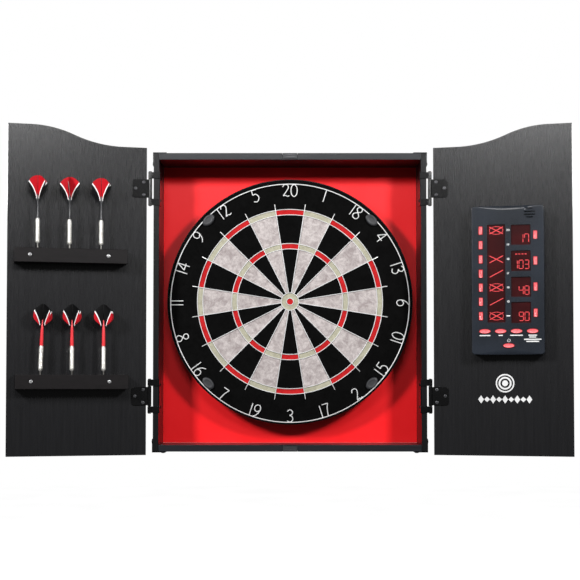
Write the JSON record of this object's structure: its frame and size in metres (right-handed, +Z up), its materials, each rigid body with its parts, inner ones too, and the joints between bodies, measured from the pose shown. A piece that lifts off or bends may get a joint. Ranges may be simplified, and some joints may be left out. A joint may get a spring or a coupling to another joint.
{
  "type": "dart board cabinet",
  "caption": "Wall cabinet for a bristle dart board, with two arch-topped doors on nesting hinges that carry dart holders, darts and an electronic scorer.",
  "frame": {"origin": "centre of the cabinet's rear face, where it meets the wall", "axes": "+X to the right as seen by a player, +Y into the wall, +Z up; the doors stand open at rest"},
  "size_m": [1.0006, 0.1736, 0.5881],
  "materials": {
    "black_laminate": "satin charcoal-black wood-grain laminate with a fine vertical grain",
    "red_laminate": "satin bright red laminate",
    "catch_plastic": "satin mid-grey plastic",
    "black_metal": "satin black powder coat",
    "steel_wire": "bright steel wire",
    "backing_board": "raw particle board",
    "sisal": "compressed sisal fibre, dyed black, with cream and red beds",
    "scorer_plastic": "satin slate-grey moulded plastic",
    "display_lens": "gloss dark red display window",
    "circuit_board": "green circuit laminate",
    "button_rubber": "soft red translucent rubber",
    "dart_steel": "nickel-plated turned metal",
    "flight_film": "thin gloss printed film",
    "dart_shaft": "gloss moulded plastic",
    "ring_clip": "dark grey plastic",
    "display_glow": "glowing red display elements",
    "white_print": "white printed marks"
  },
  "bodies": {
    "root": {"left_side_panel": "black_laminate", "right_side_panel": "black_laminate", "top_panel": "black_laminate", "bottom_panel": "black_laminate", "back_panel": "red_laminate", "top_catch": "catch_plastic", "bottom_catch": "catch_plastic", "corner_bracket_top_left": "black_metal", "corner_bracket_top_right": "black_metal", "corner_bracket_bottom_left": "black_metal", "corner_bracket_bottom_right": "black_metal", "left_upper_hinge_frame_leaf": "black_metal", "left_upper_hinge_pin": "steel_wire", "left_lower_hinge_frame_leaf": "black_metal", "left_lower_hinge_pin": "steel_wire", "right_upper_hinge_frame_leaf": "black_metal", "right_upper_hinge_pin": "steel_wire", "right_lower_hinge_frame_leaf": "black_metal", "right_lower_hinge_pin": "steel_wire", "board_hanger": "black_metal", "board_backing": "backing_board", "board_core": "sisal", "board_rim_band": "black_metal", "board_wires": "steel_wire", "bull_wire": "steel_wire", "number_ring": "steel_wire"},
    "left_door": {"left_door": "black_laminate", "left_upper_hinge_door_leaf": "black_metal", "left_lower_hinge_door_leaf": "black_metal", "dart_holder_upper": "black_laminate", "dart_holder_lower": "black_laminate"},
    "right_door": {"right_door": "black_laminate", "right_upper_hinge_door_leaf": "black_metal", "right_lower_hinge_door_leaf": "black_metal", "scorer_back_shell": "scorer_plastic", "scorer_front_shell": "scorer_plastic", "scorer_lens": "display_lens", "scorer_circuit_board": "circuit_board"},
    "dart_upper_1": {"dart_upper_1": "dart_steel"},
    "dart_upper_2": {"dart_upper_2": "dart_steel"},
    "dart_upper_3": {"dart_upper_3": "dart_steel"},
    "dart_lower_1": {"dart_lower_1": "dart_steel"},
    "dart_lower_2": {"dart_lower_2": "dart_steel"},
    "dart_lower_3": {"dart_lower_3": "dart_steel"},
    "score_button_1": {"score_button_1": "button_rubber"},
    "score_button_2": {"score_button_2": "button_rubber"},
    "score_button_3": {"score_button_3": "button_rubber"},
    "score_button_4": {"score_button_4": "button_rubber"},
    "score_button_5": {"score_button_5": "button_rubber"},
    "score_button_6": {"score_button_6": "button_rubber"},
    "score_button_7": {"score_button_7": "button_rubber"},
    "player_button_1": {"player_button_1": "button_rubber"},
    "player_button_2": {"player_button_2": "button_rubber"},
    "player_button_3": {"player_button_3": "button_rubber"},
    "player_button_4": {"player_button_4": "button_rubber"},
    "mode_button_1": {"mode_button_1": "button_rubber"},
    "mode_button_2": {"mode_button_2": "button_rubber"},
    "mode_button_3": {"mode_button_3": "button_rubber"},
    "mode_button_4": {"mode_button_4": "button_rubber"},
    "power_button": {"power_button": "button_rubber"}
  },
  "joints": [
    {"name": "left_door_hinge", "type": "hinge", "parent": "root", "child": "left_door", "pos_m": [-0.2525, -0.091, 0], "axis": [0, 0, 1], "range_deg": [-28, 166.5]},
    {"name": "right_door_hinge", "type": "hinge", "parent": "root", "child": "right_door", "pos_m": [0.2525, -0.091, 0], "axis": [0, 0, -1], "range_deg": [-28, 166.5]},
    {"name": "dart_upper_1_lift", "type": "slide", "parent": "left_door", "child": "dart_upper_1", "axis": [0, 0, 1], "range_m": [0, 0.03]},
    {"name": "dart_upper_2_lift", "type": "slide", "parent": "left_door", "child": "dart_upper_2", "axis": [0, 0, 1], "range_m": [0, 0.03]},
    {"name": "dart_upper_3_lift", "type": "slide", "parent": "left_door", "child": "dart_upper_3", "axis": [0, 0, 1], "range_m": [0, 0.03]},
    {"name": "dart_lower_1_lift", "type": "slide", "parent": "left_door", "child": "dart_lower_1", "axis": [0, 0, 1], "range_m": [0, 0.03]},
    {"name": "dart_lower_2_lift", "type": "slide", "parent": "left_door", "child": "dart_lower_2", "axis": [0, 0, 1], "range_m": [0, 0.03]},
    {"name": "dart_lower_3_lift", "type": "slide", "parent": "left_door", "child": "dart_lower_3", "axis": [0.039, 0.0094, 0.9992], "range_m": [0, 0.03]},
    {"name": "score_button_1_press", "type": "slide", "parent": "right_door", "child": "score_button_1", "axis": [0.2334, 0.9724, 0], "range_m": [0, 0.0012], "stiffness_N_per_m": 250},
    {"name": "score_button_2_press", "type": "slide", "parent": "right_door", "child": "score_button_2", "axis": [0.2334, 0.9724, 0], "range_m": [0, 0.0012], "stiffness_N_per_m": 250},
    {"name": "score_button_3_press", "type": "slide", "parent": "right_door", "child": "score_button_3", "axis": [0.2334, 0.9724, 0], "range_m": [0, 0.0012], "stiffness_N_per_m": 250},
    {"name": "score_button_4_press", "type": "slide", "parent": "right_door", "child": "score_button_4", "axis": [0.2334, 0.9724, 0], "range_m": [0, 0.0012], "stiffness_N_per_m": 250},
    {"name": "score_button_5_press", "type": "slide", "parent": "right_door", "child": "score_button_5", "axis": [0.2334, 0.9724, 0], "range_m": [0, 0.0012], "stiffness_N_per_m": 250},
    {"name": "score_button_6_press", "type": "slide", "parent": "right_door", "child": "score_button_6", "axis": [0.2334, 0.9724, 0], "range_m": [0, 0.0012], "stiffness_N_per_m": 250},
    {"name": "score_button_7_press", "type": "slide", "parent": "right_door", "child": "score_button_7", "axis": [0.2334, 0.9724, 0], "range_m": [0, 0.0012], "stiffness_N_per_m": 250},
    {"name": "player_button_1_press", "type": "slide", "parent": "right_door", "child": "player_button_1", "axis": [0.2334, 0.9724, 0], "range_m": [0, 0.0012], "stiffness_N_per_m": 250},
    {"name": "player_button_2_press", "type": "slide", "parent": "right_door", "child": "player_button_2", "axis": [0.2334, 0.9724, 0], "range_m": [0, 0.0012], "stiffness_N_per_m": 250},
    {"name": "player_button_3_press", "type": "slide", "parent": "right_door", "child": "player_button_3", "axis": [0.2334, 0.9724, 0], "range_m": [0, 0.0012], "stiffness_N_per_m": 250},
    {"name": "player_button_4_press", "type": "slide", "parent": "right_door", "child": "player_button_4", "axis": [0.2334, 0.9724, 0], "range_m": [0, 0.0012], "stiffness_N_per_m": 250},
    {"name": "mode_button_1_press", "type": "slide", "parent": "right_door", "child": "mode_button_1", "axis": [0.2334, 0.9724, 0], "range_m": [0, 0.0012], "stiffness_N_per_m": 250},
    {"name": "mode_button_2_press", "type": "slide", "parent": "right_door", "child": "mode_button_2", "axis": [0.2334, 0.9724, 0], "range_m": [0, 0.0012], "stiffness_N_per_m": 250},
    {"name": "mode_button_3_press", "type": "slide", "parent": "right_door", "child": "mode_button_3", "axis": [0.2334, 0.9724, 0], "range_m": [0, 0.0012], "stiffness_N_per_m": 250},
    {"name": "mode_button_4_press", "type": "slide", "parent": "right_door", "child": "mode_button_4", "axis": [0.2334, 0.9724, 0], "range_m": [0, 0.0012], "stiffness_N_per_m": 250},
    {"name": "power_button_press", "type": "slide", "parent": "right_door", "child": "power_button", "axis": [0.2334, 0.9724, 0], "range_m": [0, 0.0012], "stiffness_N_per_m": 250}
  ]
}
